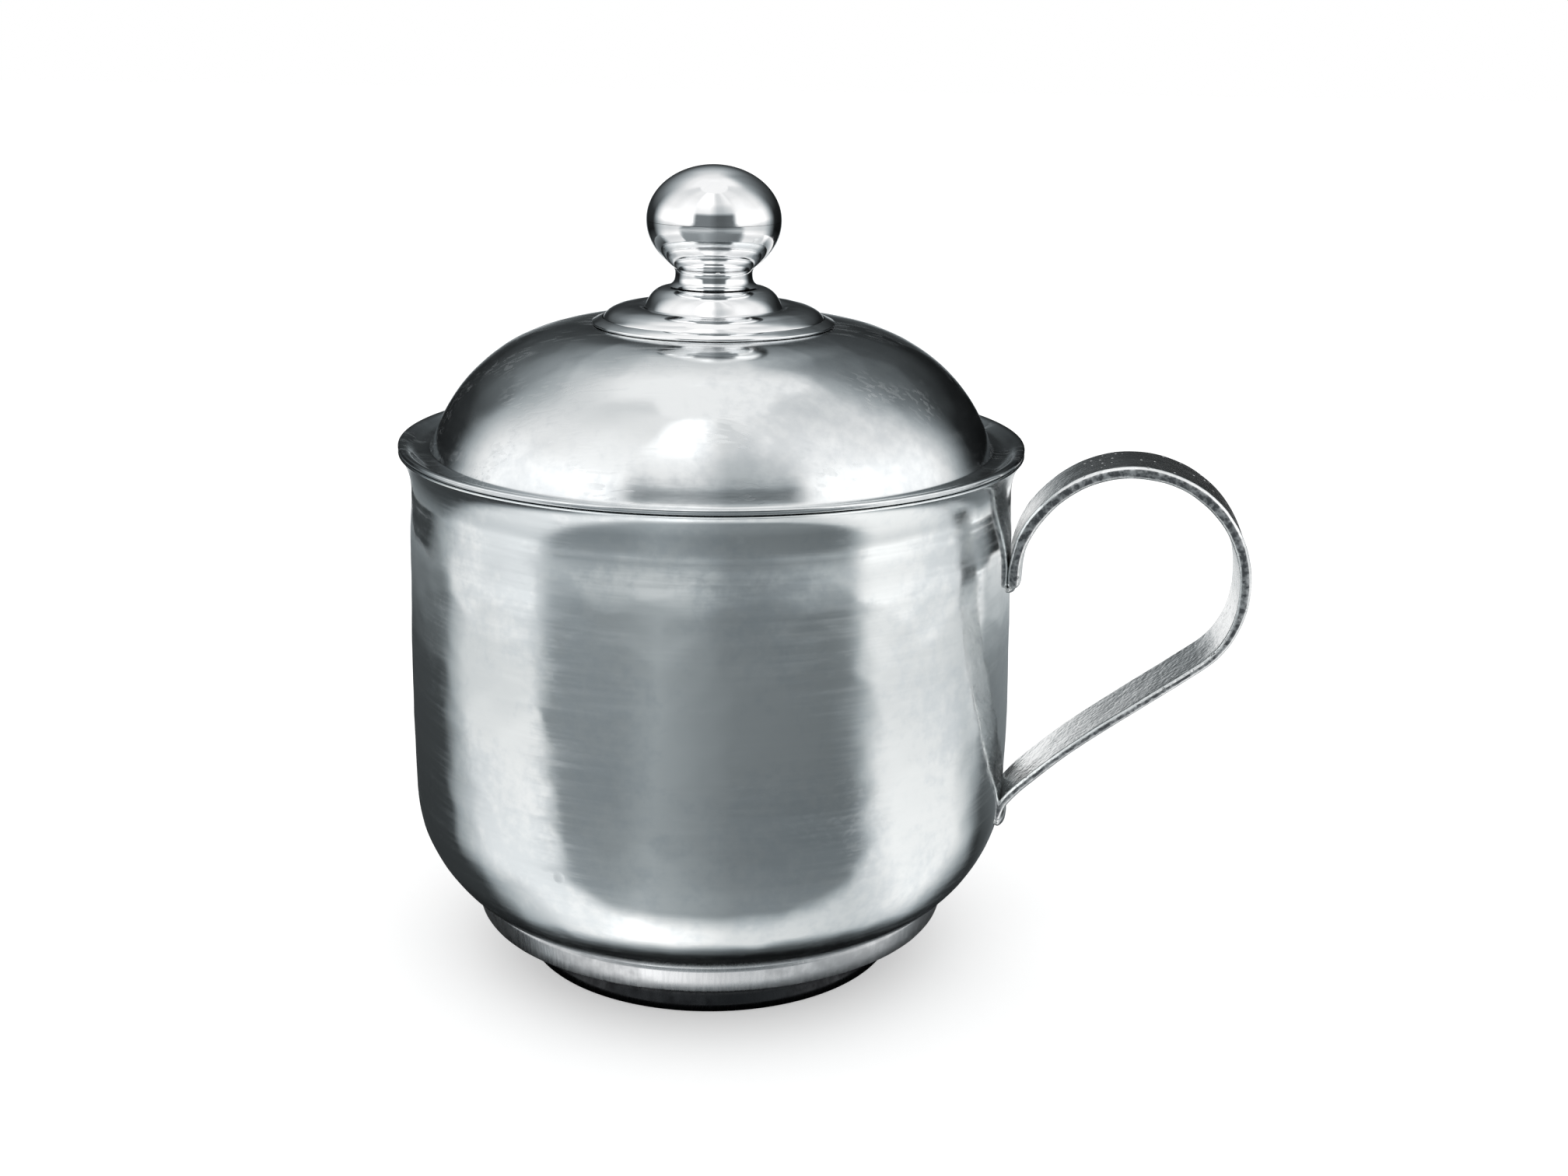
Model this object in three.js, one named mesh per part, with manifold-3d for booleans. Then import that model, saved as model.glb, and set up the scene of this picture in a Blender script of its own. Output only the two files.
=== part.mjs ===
// Covered silver cup with a strap handle, in millimetres, +Z up, standing on z = 0.
// Raised bowl with an everted lip, a girdle and a small foot ring under it, a flat strap handle,
// and a loose cover: flanged dome, two stepped rings and a hollow ball finial.
import * as THREE from 'three';
import { mergeVertices } from 'three/addons/utils/BufferGeometryUtils.js';
import Module from 'manifold-3d';

const wasm = await Module();
wasm.setup();

// Driving dimensions.
const RIM_R = 45;             // lip of the bowl and edge of the cover, from the cup's axis
const RIM_Z = 76.9;           // top of the bowl's lip
const BELLY_R = 44.2;         // widest part of the wall, well below the lip
const THROAT_R = 43.5;        // narrowest part of the wall, just under the lip
const THROAT_Z = 67.5;
const FLOOR_Z = 4.6;          // underside of the bowl's floor
const BOWL_GAUGE = 1.0;       // thickness of the raised sheet
const COVER_GAUGE = 0.8;
const FINIAL_GAUGE = 0.7;
const SEAM = 0.1;             // film of solder between pieces that are soldered together
const SEAT = 0.15;            // play where the loose cover rests on the lip
const JOIN_R = 36.4;          // where the bowl's corner runs into its lower wall
const JOIN_Z = 11.1;
const JOIN_TURN = 53;         // degrees of the lower wall's arc below level, at that place
const GIRDLE_Z = 6.9;         // lower edge of the girdle round the bowl's foot
const GIRDLE_H = 4;
const GIRDLE_R = 35.3;        // at its lower edge
const GIRDLE_GAUGE = 1.5;
const GIRDLE_FLARE = 0.5;     // how much wider it is at its upper edge
const FOOT_R = 28;            // outside of the foot ring where it stands
const FOOT_WALL = 1.4;
const DOME_ARC_R = 23.9;      // the dome's shoulder is one arc, round this centre
const DOME_ARC_AT = [17.4, 70.3];
const CREASE_R = 39.4;        // where the dome rises out of its flange
const BEZEL_R = 41.9;         // locating ring under the cover
const BEZEL_WALL = 0.9;
const BEZEL_DEPTH = 6;
const FINIAL_R = 9.55;        // widest part of the ball
const FINIAL_Z = 108.7;       // height of that widest part
const TOP_Z = 116.5;          // top of the ball, the cup's whole height
const STRAP_W = 11.4;         // handle strap: width, gauge and rounding of its long edges
const STRAP_GAUGE = 1.15;
const STRAP_ROUND = 0.3;
const STRAP_FLUSH_TO = 45.6;  // as far out as this the strap follows the round wall,
const STRAP_FREE_FROM = 49;   // and from here on it is flat across
const LOOP_R = 16.35;         // the handle's loop is one arc, round this centre
const LOOP_AT = [60.7, 60.2];
const LOOP_TIGHTENS = -16;    // degrees below level, where the loop begins to turn in faster,
const LOOP_TIGHT_R = 14.6;    // on this radius,
const LOOP_END = -52;         // and where it runs into the lower leg
const STRAP_TOP_END = 58.6;   // height at which the strap's upper end stops on the wall
const STRAP_TAIL = [43.7, 22.8];  // where its lower end stops, lying on the wall
const BODY_SIDES = 44;        // facets round the bowl and the cover
const STEP_SIDES = 36;
const FINIAL_SIDES = 24;

// The cup's axis stands off the middle, so that bowl and handle together are centred on x = 0.
const HANDLE_REACH = LOOP_AT[0] + LOOP_R + STRAP_GAUGE / 2;
const AXIS_X = (RIM_R - HANDLE_REACH) / 2;

const silver = (name, color, roughness) =>
  new THREE.MeshStandardMaterial({ name, color, roughness, metalness: 1 });
const POLISHED = silver('polished_silver', 0xc6cacb, 0.12);
const FINIAL_SILVER = silver('finial_silver', 0xe2e5e4, 0.08);
const FOOT_SILVER = silver('foot_silver', 0x9ea3a5, 0.35);
const STRAP_SILVER = silver('strap_silver', 0xd4d8d7, 0.25);
const SOLDER = silver('silver_solder', 0xb9bcba, 0.4);

// Curve helpers. A profile is a list of points (radius, height) in the plane through the axis.
const at = (r, z) => new THREE.Vector2(r, z);

function arc([r, z], radius, fromDegrees, toDegrees, steps) {
  const [a, b] = [fromDegrees, toDegrees].map(THREE.MathUtils.degToRad);
  return new THREE.EllipseCurve(r, z, radius, radius, a, b, b < a).getPoints(steps);
}

function sweep(from, pullFrom, pullTo, to, steps) {
  return new THREE.CubicBezierCurve(from, pullFrom, pullTo, to).getPoints(steps);
}

/** The same line moved sideways by a distance, to its left as it runs. */
function beside(points, distance) {
  return points.map((p, i) => {
    const before = points[Math.max(i - 1, 0)];
    const after = points[Math.min(i + 1, points.length - 1)];
    const into = p.clone().sub(before).normalize();
    const out = after.clone().sub(p).normalize();
    if (i === 0) into.copy(out);
    if (i === points.length - 1) out.copy(into);
    const along = into.clone().add(out).normalize();
    const stretch = distance / Math.max(along.dot(out), 0.5);
    return at(p.x - along.y * stretch, p.y + along.x * stretch);
  });
}

/** Drops points that repeat the one before them. */
const joined = (...lines) => lines.flat().filter((p, i, all) => !i || p.distanceTo(all[i - 1]) > 0.02);

/** A sheet of even gauge under the given outer line, its ends cut square or level. */
function sheet(outer, gauge, { level = false } = {}) {
  const inner = beside(outer, gauge);
  const last = outer.length - 1;
  for (const [end, next] of [[0, 1], [last, last - 1]]) {
    if (outer[end].x === 0) inner[end].x = 0;
    else if (level) {
      const lean = (outer[next].x - outer[end].x) / (outer[next].y - outer[end].y);
      inner[end].set(inner[end].x + (outer[end].y - inner[end].y) * lean, outer[end].y);
    }
  }
  return [...outer, ...inner.reverse()];
}

/** Turns a section round the Z axis. One that touches the axis stays open there. */
function turned(section, sides) {
  const area = section.reduce((sum, p, i) => sum + p.cross(section[(i + 1) % section.length]), 0);
  const points = area > 0 ? section.slice() : section.slice().reverse();
  const onAxis = points.findIndex((p, i) => p.x === 0 && points[(i + 1) % points.length].x === 0);
  if (onAxis < 0) points.push(points[0].clone());
  else points.push(...points.splice(0, onAxis + 1));
  return new THREE.LatheGeometry(points, sides).rotateX(Math.PI / 2);
}

// Solid helpers, for the pieces that are cut to fit others.
function solid(geometry) {
  const bare = geometry.clone();
  bare.deleteAttribute('normal');
  bare.deleteAttribute('uv');
  const merged = mergeVertices(bare, 1e-4);
  const corners = merged.index.array;
  const kept = [];
  for (let i = 0; i < corners.length; i += 3) {
    const [a, b, c] = corners.subarray(i, i + 3);
    if (a !== b && b !== c && c !== a) kept.push(a, b, c);
  }
  return new wasm.Manifold(new wasm.Mesh({
    numProp: 3,
    vertProperties: Float32Array.from(merged.attributes.position.array),
    triVerts: Uint32Array.from(kept),
  }));
}

function geometryOf(manifold) {
  const { vertProperties, triVerts } = manifold.getMesh();
  const geometry = new THREE.BufferGeometry();
  geometry.setAttribute('position', new THREE.BufferAttribute(vertProperties, 3));
  geometry.setIndex(new THREE.BufferAttribute(triVerts, 1));
  return geometry;
}

// Bowl: flat floor, corner and lower wall as two arcs, slightly bellied wall and everted lip.
function bowlOutline() {
  const turn = THREE.MathUtils.degToRad(JOIN_TURN);
  const cornerR = (JOIN_Z - FLOOR_Z) / (1 - Math.sin(turn));
  const lowerR = (BELLY_R - JOIN_R) / (1 - Math.cos(turn));
  const bellyZ = JOIN_Z + lowerR * Math.sin(turn);
  const throat = at(THROAT_R, THROAT_Z);
  return joined(
    [at(0, FLOOR_Z)],
    arc([JOIN_R - cornerR * Math.cos(turn), FLOOR_Z + cornerR], cornerR, -90, -JOIN_TURN, 4),
    arc([BELLY_R - lowerR, bellyZ], lowerR, -JOIN_TURN, 0, 7),
    sweep(at(BELLY_R, bellyZ), at(BELLY_R + 0.2, 44), at(THROAT_R, 56), throat, 4),
    sweep(throat, at(THROAT_R, 71.6), at(43.9, 74.6), at(RIM_R, RIM_Z), 4),
  );
}

const bowl = () => turned(sheet(bowlOutline(), BOWL_GAUGE, { level: true }), BODY_SIDES);

/** The bowl's outer form as one full body, grown a little, for cutting what is soldered to it. */
const bowlForm = (grown) =>
  solid(turned([...beside(bowlOutline(), -grown), at(0, RIM_Z), at(0, FLOOR_Z - grown)]
    .map((p, i) => (i ? p : at(0, p.y))), BODY_SIDES));

// Girdle: a strip bent into a hoop round the lower bowl, filed inside to follow it.
function girdle() {
  const inner = GIRDLE_R - GIRDLE_GAUGE;
  const top = GIRDLE_Z + GIRDLE_H;
  const outline = [at(inner, GIRDLE_Z), at(GIRDLE_R - 0.25, GIRDLE_Z), at(GIRDLE_R, GIRDLE_Z + 0.3),
    at(GIRDLE_R + GIRDLE_FLARE, top), at(inner, top)];
  return geometryOf(solid(turned(outline, BODY_SIDES)).subtract(bowlForm(SEAM)));
}

// Foot ring: a plain collet under the bowl, with a slightly spread edge to stand on.
function footRing() {
  const inner = FOOT_R - FOOT_WALL;
  const top = FLOOR_Z + 1.5;
  const outline = [at(inner, 0), at(FOOT_R, 0), at(FOOT_R, 1), at(FOOT_R - 0.5, 2.2),
    at(FOOT_R - 0.6, top), at(inner - 0.3, top), at(inner - 0.3, 1.5)];
  return geometryOf(solid(turned(outline, BODY_SIDES)).subtract(bowlForm(SEAM)));
}

// Handle: a flat strap. Its loop starts flush with the wall, its lower leg sweeps back to the bowl.
function strapLine() {
  const tightAt = arc(LOOP_AT, LOOP_R - LOOP_TIGHT_R, LOOP_TIGHTENS, LOOP_TIGHTENS, 1)[0].toArray();
  const loopEnd = arc(tightAt, LOOP_TIGHT_R, LOOP_END, LOOP_END, 1)[0];
  const heading = THREE.MathUtils.degToRad(LOOP_END);
  const legPull = at(Math.sin(heading), -Math.cos(heading)).multiplyScalar(12).add(loopEnd);
  const landing = at(45.4, 26.6);
  return joined(
    [at(LOOP_AT[0] - LOOP_R, STRAP_TOP_END)],
    arc(LOOP_AT, LOOP_R, 180, LOOP_TIGHTENS, 22),
    arc(tightAt, LOOP_TIGHT_R, LOOP_TIGHTENS, LOOP_END, 5),
    sweep(loopEnd, legPull, at(51.2, 34), landing, 8),
    sweep(landing, at(44.4, 25.4), at(44, 24.5), at(...STRAP_TAIL), 4),
  );
}

function strapBody(gauge, width, round) {
  const line = strapLine();
  const outline = [...beside(line, gauge / 2 - round), ...beside(line, round - gauge / 2).reverse()];
  const geometry = new THREE.ExtrudeGeometry(new THREE.Shape(outline), {
    depth: width - 2 * round, steps: 4, bevelEnabled: true,
    bevelThickness: round, bevelSize: round, bevelSegments: 2,
  });
  geometry.translate(0, 0, round - width / 2).rotateX(Math.PI / 2);
  return seatOnWall(geometry);
}

/** How far the round wall falls back at a distance to either side of the handle's middle. */
const wallDrop = (y) => THROAT_R - Math.sqrt(THROAT_R ** 2 - y ** 2);

/** Dishes the strap's two ends across their width, so that they lie on the round wall. */
function seatOnWall(geometry) {
  const place = geometry.attributes.position;
  for (let i = 0; i < place.count; i++) {
    const hold = 1 - THREE.MathUtils.smoothstep(place.getX(i), STRAP_FLUSH_TO, STRAP_FREE_FROM);
    place.setX(i, place.getX(i) - hold * wallDrop(place.getY(i)));
  }
  return geometry;
}

const strap = () =>
  geometryOf(solid(strapBody(STRAP_GAUGE, STRAP_W, STRAP_ROUND)).subtract(bowlForm(SEAM)));

/** A bead of solder across one end of the strap, run into the corner between strap and wall. */
function solderBead(x, z, halfDepth, halfHeight) {
  const bead = new THREE.SphereGeometry(1, 16, 10);
  bead.scale(halfDepth, STRAP_W / 2 - 0.6, halfHeight);
  const place = bead.attributes.position;
  for (let i = 0; i < place.count; i++) place.setX(i, place.getX(i) - wallDrop(place.getY(i)));
  bead.translate(x, 0, z);
  const strapForm = solid(strapBody(STRAP_GAUGE + 2 * SEAM, STRAP_W + 2 * SEAM, STRAP_ROUND));
  return geometryOf(solid(bead).subtract(bowlForm(SEAM)).subtract(strapForm));
}

// Cover: flange that lies in the lip, dome rising out of it, crown closed but for a vent.
const VENT_R = 1.5;           // lets air out of the hollow steps and ball
const CROWN_Z = DOME_ARC_AT[1] + DOME_ARC_R;
const GUTTER_Z = 76.85;       // lowest part of the flange's upper face

function coverOutline() {
  const edge = RIM_Z + SEAT + COVER_GAUGE;
  const gutter = at(41.4, GUTTER_Z);
  const shoulderFoot = THREE.MathUtils.radToDeg(Math.acos((CREASE_R - DOME_ARC_AT[0]) / DOME_ARC_R));
  return joined(
    [at(RIM_R, edge)],
    sweep(at(RIM_R - 1, edge), at(RIM_R - 2, edge), at(42.6, GUTTER_Z), gutter, 3),
    sweep(gutter, at(40.4, GUTTER_Z), at(CREASE_R + 0.3, 77.3), at(CREASE_R + 0.15, 78), 3),
    arc(DOME_ARC_AT, DOME_ARC_R, shoulderFoot + 1.5, 82, 8),
    [at(VENT_R, CROWN_Z)],
  );
}

const coverDome = () => turned(sheet(coverOutline(), COVER_GAUGE), BODY_SIDES);

// Bezel: a hoop under the flange that drops inside the throat and keeps the cover central.
function bezel() {
  const top = GUTTER_Z - COVER_GAUGE - SEAM;
  const foot = top - BEZEL_DEPTH;
  const inner = BEZEL_R - BEZEL_WALL;
  return turned([at(inner, foot), at(BEZEL_R - 0.25, foot), at(BEZEL_R, foot + 0.5),
    at(BEZEL_R, top), at(inner, top)], BODY_SIDES);
}

// Two stepped rings on the crown, each a raised sheet, the lower one in a thin seat ring.
const LOWER_STEP = { radius: 15.75, foot: CROWN_Z, top: CROWN_Z + 2.7 };
const UPPER_STEP = { radius: 9.9, foot: CROWN_Z + 2.1, top: CROWN_Z + 5.3 };
const SEAT_RING_W = 1.5;

function seatRing() {
  const inner = LOWER_STEP.radius + SEAM;
  const outer = inner + SEAT_RING_W;
  const foot = CROWN_Z + SEAM;
  return turned([at(inner, foot), at(outer, foot), at(outer, foot + 0.4),
    at(outer - 0.45, foot + 0.8), at(inner, foot + 0.9)], STEP_SIDES);
}

function lowerStep() {
  const { radius, foot, top } = LOWER_STEP;
  const outer = joined(
    [at(radius, foot + SEAM)],
    sweep(at(radius, foot + 0.7), at(radius, foot + 2.2), at(radius - 1.3, top), at(radius - 3.6, top), 4),
    sweep(at(radius - 3.6, top), at(11, top), at(10.1, top - 0.2), at(9.2, top - 0.7), 2),
  );
  return turned(sheet(outer, FINIAL_GAUGE), STEP_SIDES);
}

function upperStep() {
  const { radius, foot, top } = UPPER_STEP;
  const outer = joined(
    [at(radius - 0.3, foot + 0.35)],
    sweep(at(radius - 0.05, foot + 0.9), at(radius + 0.25, foot + 2.3), at(9, top), at(7.2, top), 4),
    [at(5.1, top + 0.05)],
  );
  return turned(sheet(outer, FINIAL_GAUGE), STEP_SIDES);
}

// Finial: a waisted neck and two raised halves of a flattened ball, soldered at its widest part.
const NECK_FOOT = UPPER_STEP.top + SEAM + 0.05;
const NECK_TOP = 102.1;
const NECK_WAIST = 5.5;

function finialNeck() {
  const bore = NECK_WAIST - FINIAL_GAUGE;
  const straightTo = NECK_TOP - 0.7;
  const outer = joined(
    sweep(at(6.45, NECK_FOOT), at(5.75, NECK_FOOT + 0.3), at(NECK_WAIST, NECK_FOOT + 0.7),
      at(NECK_WAIST, straightTo), 4),
    [at(NECK_WAIST + 0.15, NECK_TOP)],
  );
  return turned([...outer, at(bore, NECK_TOP), at(bore, NECK_FOOT)], FINIAL_SIDES);
}

function finialLowerHalf() {
  const outer = sweep(at(NECK_WAIST + 0.2, NECK_TOP + SEAM), at(7.2, 103.2), at(FINIAL_R, 105.45),
    at(FINIAL_R, FINIAL_Z), 6);
  return turned(sheet(outer, FINIAL_GAUGE, { level: true }), FINIAL_SIDES);
}

function finialUpperHalf() {
  const foot = FINIAL_Z + SEAM;
  const dome = new THREE.EllipseCurve(0, foot, FINIAL_R, TOP_Z - foot, 0, Math.PI / 2);
  const outer = dome.getPoints(7);
  outer.at(-1).x = 0;
  return turned(sheet(outer, FINIAL_GAUGE, { level: true }), FINIAL_SIDES);
}

// Assembly.
function piece(name, geometry, material) {
  const mesh = new THREE.Mesh(geometry, material.clone());
  mesh.name = name;
  return mesh;
}

const body = new THREE.Group();
body.add(
  piece('cup_bowl', bowl(), POLISHED),
  piece('foot_girdle', girdle(), FOOT_SILVER),
  piece('foot_ring', footRing(), FOOT_SILVER),
  piece('handle_strap', strap(), STRAP_SILVER),
  piece('handle_upper_solder', solderBead(THROAT_R + 0.6, STRAP_TOP_END - 0.4, 0.9, 1.1), SOLDER),
  piece('handle_lower_solder', solderBead(STRAP_TAIL[0] + 0.2, STRAP_TAIL[1] - 0.5, 1, 1.4), SOLDER),
);

const cover = new THREE.Group();
cover.add(
  piece('cover_dome', coverDome(), POLISHED),
  piece('cover_bezel', bezel(), POLISHED),
  piece('step_seat_ring', seatRing(), FINIAL_SILVER),
  piece('lower_step', lowerStep(), POLISHED),
  piece('upper_step', upperStep(), POLISHED),
  piece('finial_neck', finialNeck(), FINIAL_SILVER),
  piece('finial_lower_half', finialLowerHalf(), FINIAL_SILVER),
  piece('finial_upper_half', finialUpperHalf(), FINIAL_SILVER),
);

const cup = new THREE.Group();
cup.position.x = AXIS_X;
cup.add(body, cover);

export default cup;
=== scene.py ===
# A covered silver cup with a strap handle, dressed for its picture.
# The sections follow the cup as it is put together: bowl, foot, handle, cover and finial. The studio is last.
from math import acos, cos, degrees, pi, radians, sin, sqrt

import bpy
from mathutils import Matrix, Vector


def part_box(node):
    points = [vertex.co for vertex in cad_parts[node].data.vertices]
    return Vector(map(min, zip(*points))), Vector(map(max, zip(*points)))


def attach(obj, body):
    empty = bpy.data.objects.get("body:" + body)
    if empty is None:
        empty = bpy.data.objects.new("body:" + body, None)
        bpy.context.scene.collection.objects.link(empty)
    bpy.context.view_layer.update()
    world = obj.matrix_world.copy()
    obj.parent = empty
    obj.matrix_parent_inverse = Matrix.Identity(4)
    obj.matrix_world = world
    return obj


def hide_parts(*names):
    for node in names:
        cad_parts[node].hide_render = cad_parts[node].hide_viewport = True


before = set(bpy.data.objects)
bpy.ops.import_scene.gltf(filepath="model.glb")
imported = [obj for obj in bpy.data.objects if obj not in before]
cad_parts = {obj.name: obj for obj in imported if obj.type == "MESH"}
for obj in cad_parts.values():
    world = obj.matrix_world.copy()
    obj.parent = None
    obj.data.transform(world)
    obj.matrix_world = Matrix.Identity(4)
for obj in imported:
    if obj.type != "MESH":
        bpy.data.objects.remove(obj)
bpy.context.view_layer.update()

# Camera.
# It stands in front of the cup, a little to the right of square on, and looks down from above the cover.
# All sizes in this file are in mm, and MM turns them into the metres of the scene.
MM = 0.001
lip_low, lip_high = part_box("cup_bowl")
AXIS = (lip_low[0] + lip_high[0]) / 2 / MM
CAMERA_TURN = 9.5
CAMERA_FAR, CAMERA_HIGH = 277.69, 135.27
PITCH, YAW, ROLL = 16.134, 2.194, 0.875
FOCAL_PIXELS, IMAGE_WIDTH, SENSOR = 2500, 2016, 36

around = Matrix.Rotation(radians(CAMERA_TURN), 3, "Z")
pitch, yaw, roll = radians(PITCH), radians(YAW), radians(ROLL)
ahead = Vector((sin(yaw) * cos(pitch), cos(yaw) * cos(pitch), -sin(pitch)))
level = Vector((cos(yaw), -sin(yaw), 0))
upright = level.cross(ahead)
across = cos(roll) * level + sin(roll) * upright
upward = cos(roll) * upright - sin(roll) * level
stand = around @ Vector((0, -CAMERA_FAR, CAMERA_HIGH)) + Vector((AXIS, 0, 0))
bpy.ops.object.camera_add()
camera = bpy.context.object
turn = Matrix([around @ across, around @ upward, -(around @ ahead)]).transposed()
camera.matrix_world = Matrix.Translation(stand * MM) @ turn.to_4x4()
camera.data.sensor_width = SENSOR
camera.data.lens = FOCAL_PIXELS / IMAGE_WIDTH * SENSOR
camera.data.clip_start = 0.01
bpy.context.scene.camera = camera
bpy.context.scene.view_settings.view_transform = "Standard"

# Bowl.
# One sheet of silver raised over stakes, its lip turned out and filed level for the cover to lie in.
# Planishing left the wall a little wavy, and hand polishing left fine level lines round it.
LIP_R = (lip_high[0] - lip_low[0]) / 2 / MM
LIP_Z = lip_high[2] / MM
FLOOR_Z = lip_low[2] / MM
BELLY_R = 44.2
THROAT_R, THROAT_Z = 43.38, 70.6
CORNER_R, CORNER_Z, CORNER_TURN = 36.4, 11.1, 53
BOWL_GAUGE = 1.0
BOWL_SIDES = 320


def arc(centre, radius, start, end, steps):
    """Points on a round stretch, its angles in degrees."""
    angles = [radians(start + (end - start) * i / steps) for i in range(steps + 1)]
    return [(centre[0] + radius * cos(a), centre[1] + radius * sin(a)) for a in angles]


def sweep(start, pull_start, pull_end, end, steps):
    """Points on a free curve that leaves and arrives along its two pulls."""
    corners = (start, pull_start, pull_end, end)
    points = []
    for i in range(steps + 1):
        t = i / steps
        weights = ((1 - t) ** 3, 3 * (1 - t) ** 2 * t, 3 * (1 - t) * t * t, t ** 3)
        points.append(tuple(sum(w * c[k] for w, c in zip(weights, corners)) for k in (0, 1)))
    return points


def apart(first, second):
    """The distance between two points."""
    return sqrt((first[0] - second[0]) ** 2 + (first[1] - second[1]) ** 2)


def joined(*lines, closest=0.004):
    """Lines end to end, without the points that repeat the one before."""
    points = []
    for p in sum(lines, []):
        if not points or apart(p, points[-1]) > closest:
            points.append(p)
    return points


def beside(line, distance):
    """The same line moved to its left by a distance."""
    moved = []
    for i, p in enumerate(line):
        before, after = line[max(i - 1, 0)], line[min(i + 1, len(line) - 1)]
        way = Vector((after[0] - before[0], after[1] - before[1])).normalized()
        moved.append((max(p[0] - way.y * distance, 0), p[1] + way.x * distance))
    return moved


def chain(name, points, y=0.0):
    """A line of vertices drawn out one from another in the plane of the handle."""
    bpy.ops.object.select_all(action="DESELECT")
    start = ((AXIS + points[0][0]) * MM, y * MM, points[0][1] * MM)
    bpy.ops.mesh.primitive_plane_add(size=MM, location=start)
    bpy.ops.object.transform_apply(location=True, rotation=True, scale=True)
    piece = bpy.context.object
    piece.name = name
    bpy.ops.object.mode_set(mode="EDIT")
    bpy.ops.mesh.select_all(action="SELECT")
    bpy.ops.mesh.merge(type="CENTER")
    for before, after in zip(points, points[1:]):
        step = ((after[0] - before[0]) * MM, 0, (after[1] - before[1]) * MM)
        bpy.ops.mesh.extrude_vertices_move(TRANSFORM_OT_translate={"value": step})
    return piece


def turned(name, section, sides, ring=False, sharp=38):
    """Spins a section round the cup's axis. A ring's section is closed, another starts and ends on the axis."""
    piece = chain(name, section + [section[0]] if ring else section)
    bpy.ops.mesh.select_all(action="SELECT")
    bpy.ops.mesh.remove_doubles(threshold=1e-7)
    bpy.ops.mesh.spin(steps=sides, angle=2 * pi, center=(AXIS * MM, 0, 0), axis=(0, 0, 1))
    bpy.ops.mesh.select_all(action="SELECT")
    bpy.ops.mesh.remove_doubles(threshold=2e-7)
    bpy.ops.mesh.normals_make_consistent(inside=False)
    bpy.ops.object.mode_set(mode="OBJECT")
    bpy.ops.object.shade_smooth_by_angle(angle=radians(sharp))
    return piece


def planish(piece, marks, depth, reach=None):
    """Presses hammer marks of a width and depth into the mesh. The reach is a share by radius and height."""
    bpy.ops.object.select_all(action="DESELECT")
    bpy.context.view_layer.objects.active = piece
    piece.select_set(True)
    if reach:
        group = piece.vertex_groups.new(name="worked")
        for v in piece.data.vertices:
            x, y, z = v.co / MM
            share = reach(sqrt((x - AXIS) ** 2 + y ** 2), z)
            group.add([v.index], max(0.0, min(1.0, share)), "REPLACE")
    blows = bpy.data.textures.new(piece.name + "_blows", "VORONOI")
    blows.distance_metric = "DISTANCE_SQUARED"
    drift = bpy.data.textures.new(piece.name + "_drift", "CLOUDS")
    for texture, width, height in ((blows, marks, depth), (drift, 2.4 * marks, 2.4 * depth)):
        texture.noise_scale = width * MM
        press = piece.modifiers.new(texture.name, "DISPLACE")
        press.texture = texture
        press.texture_coords = "LOCAL"
        press.strength = height * MM
        press.mid_level = 0.5
        if reach:
            press.vertex_group = "worked"
        bpy.ops.object.modifier_apply(modifier=press.name)


def dress(piece, body, slot, material, *nodes):
    """Puts a piece on its body, in the place of the nodes it stands for, with its finish."""
    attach(piece, body)
    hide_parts(*nodes)
    piece.data.materials.clear()
    piece.data.materials.append(material)


def calc(tree, operation, *values):
    """One math node. Its inputs are sockets or numbers."""
    node = tree.nodes.new("ShaderNodeMath")
    node.operation = operation
    for socket, value in zip(node.inputs, values):
        if isinstance(value, (int, float)):
            socket.default_value = value
        else:
            tree.links.new(value, socket)
    return node.outputs[0]


def noise(tree, place, per_mm, detail=2.0, stretch=None, lean=(0, 0, 0)):
    """Noise on a place in metres. Its grain is given per mm, and drawn out along the axes if asked."""
    if stretch:
        mapping = tree.nodes.new("ShaderNodeMapping")
        mapping.inputs["Scale"].default_value = stretch
        mapping.inputs["Rotation"].default_value = [radians(a) for a in lean]
        tree.links.new(place, mapping.inputs["Vector"])
        place = mapping.outputs[0]
    node = tree.nodes.new("ShaderNodeTexNoise")
    node.inputs["Scale"].default_value = per_mm / MM
    node.inputs["Detail"].default_value = detail
    tree.links.new(place, node.inputs["Vector"])
    return node.outputs[0]


def rise(tree, value, low, high, start=0.0, end=1.0):
    """A smooth clamped step of a value between two limits."""
    node = tree.nodes.new("ShaderNodeMapRange")
    node.interpolation_type = "SMOOTHSTEP"
    tree.links.new(value, node.inputs["Value"])
    for label, number in zip(("From Min", "From Max", "To Min", "To Max"), (low, high, start, end)):
        node.inputs[label].default_value = number
    return node.outputs[0]


def blend(tree, share, first, second):
    """A mix of two colours, each a socket or a plain colour."""
    node = tree.nodes.new("ShaderNodeMix")
    node.data_type = "RGBA"
    for socket, value in zip((node.inputs[0], node.inputs[6], node.inputs[7]), (share, first, second)):
        if isinstance(value, tuple):
            socket.default_value = value
        else:
            tree.links.new(value, socket)
    return node.outputs[2]


def effect(name, inputs, outputs):
    """An empty shader group. Its inputs are given with their defaults, and all but Place are numbers."""
    group = bpy.data.node_groups.new(name, "ShaderNodeTree")
    group.interface.new_socket(name="Place", in_out="INPUT", socket_type="NodeSocketVector")
    for label, default in inputs.items():
        kind = "NodeSocketFloat" if isinstance(default, (int, float)) else "NodeSocketColor"
        socket = group.interface.new_socket(name=label, in_out="INPUT", socket_type=kind)
        socket.default_value = default
    for label, kind in outputs.items():
        group.interface.new_socket(name=label, in_out="OUTPUT", socket_type=kind)
    return group, group.nodes.new("NodeGroupInput").outputs, group.nodes.new("NodeGroupOutput").inputs


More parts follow.
